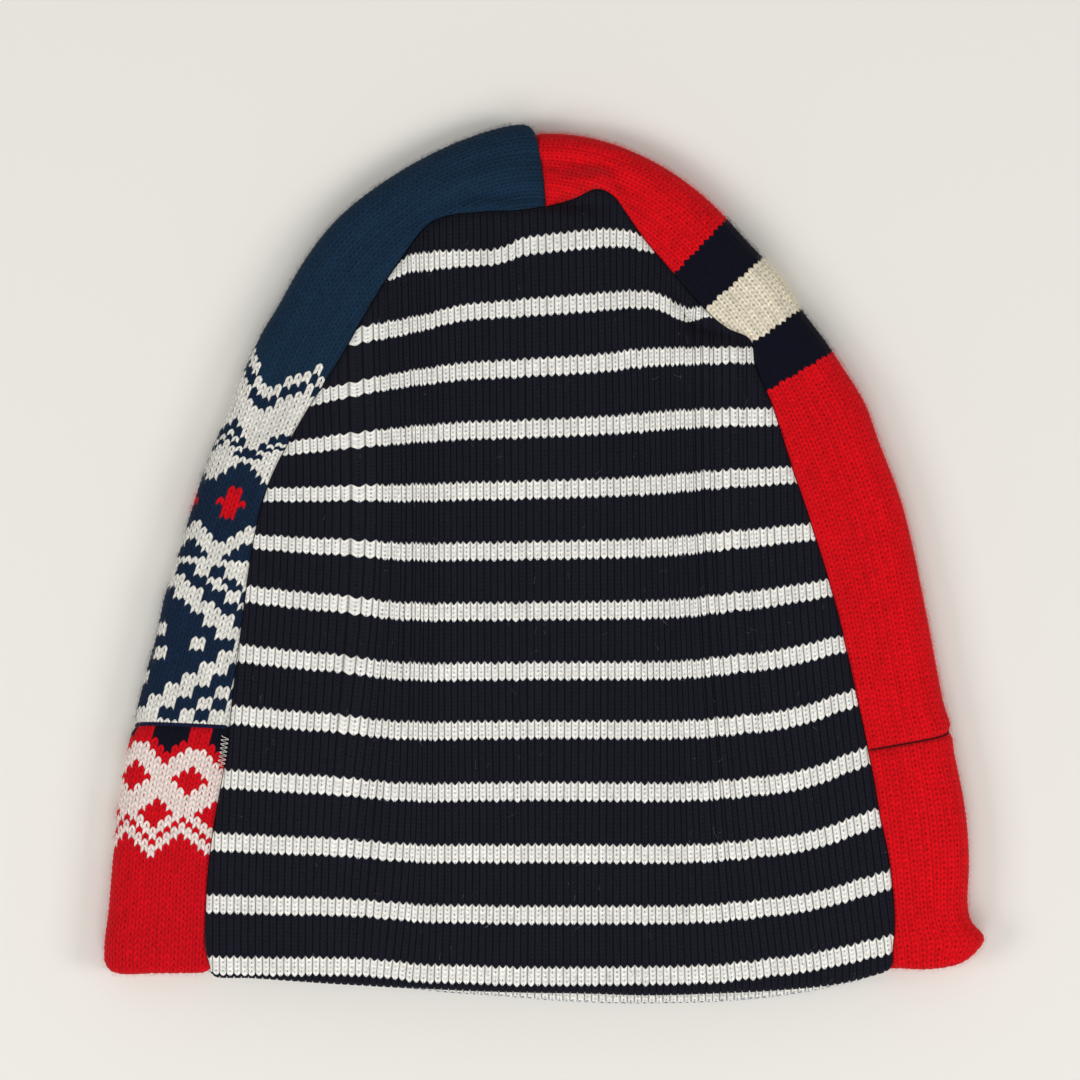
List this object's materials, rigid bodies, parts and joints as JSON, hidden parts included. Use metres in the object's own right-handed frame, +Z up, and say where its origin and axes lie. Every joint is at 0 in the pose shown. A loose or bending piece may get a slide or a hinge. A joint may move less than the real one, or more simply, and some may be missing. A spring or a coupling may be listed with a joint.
{
  "type": "knit beanie",
  "caption": "Soft knitted beanie lying flat, with striped rib panels front and back joined by a pieced side band over the crown, and a turned-up hem at the brim",
  "frame": {"origin": "middle of the footprint, on the surface that the hat lies on", "axes": "+Z up through the flat hat from its back panel to its front panel, +Y from the brim to the crown, +X across the hat"},
  "size_m": [0.2606, 0.2626, 0.019],
  "materials": {
    "striped_rib": "fine 1x1 rib knit, navy with narrow off-white stripes, matt",
    "red_jacquard": "stocking-stitch wool, red with a pinkish-white lattice, matt and slightly fuzzy",
    "blue_jacquard": "stocking-stitch wool, teal with a white and blue pattern, matt and slightly fuzzy",
    "barred_red_knit": "stocking-stitch wool, red with navy and cream bars, matt and slightly fuzzy",
    "plain_red_knit": "stocking-stitch wool, plain red, matt and slightly fuzzy",
    "seam_thread": "overlocked thread over the cut edges, matt"
  },
  "bodies": {
    "root": {"front_panel": "striped_rib", "back_panel": "striped_rib", "side_band_left_lower": "red_jacquard", "side_band_left_upper": "blue_jacquard", "side_band_right_upper": "barred_red_knit", "side_band_right_lower": "plain_red_knit", "front_left_seam": "seam_thread", "front_right_seam": "seam_thread", "back_left_seam": "seam_thread", "back_right_seam": "seam_thread", "left_cross_seam": "seam_thread", "crown_cross_seam": "seam_thread", "right_cross_seam": "seam_thread"}
  },
  "joints": []
}
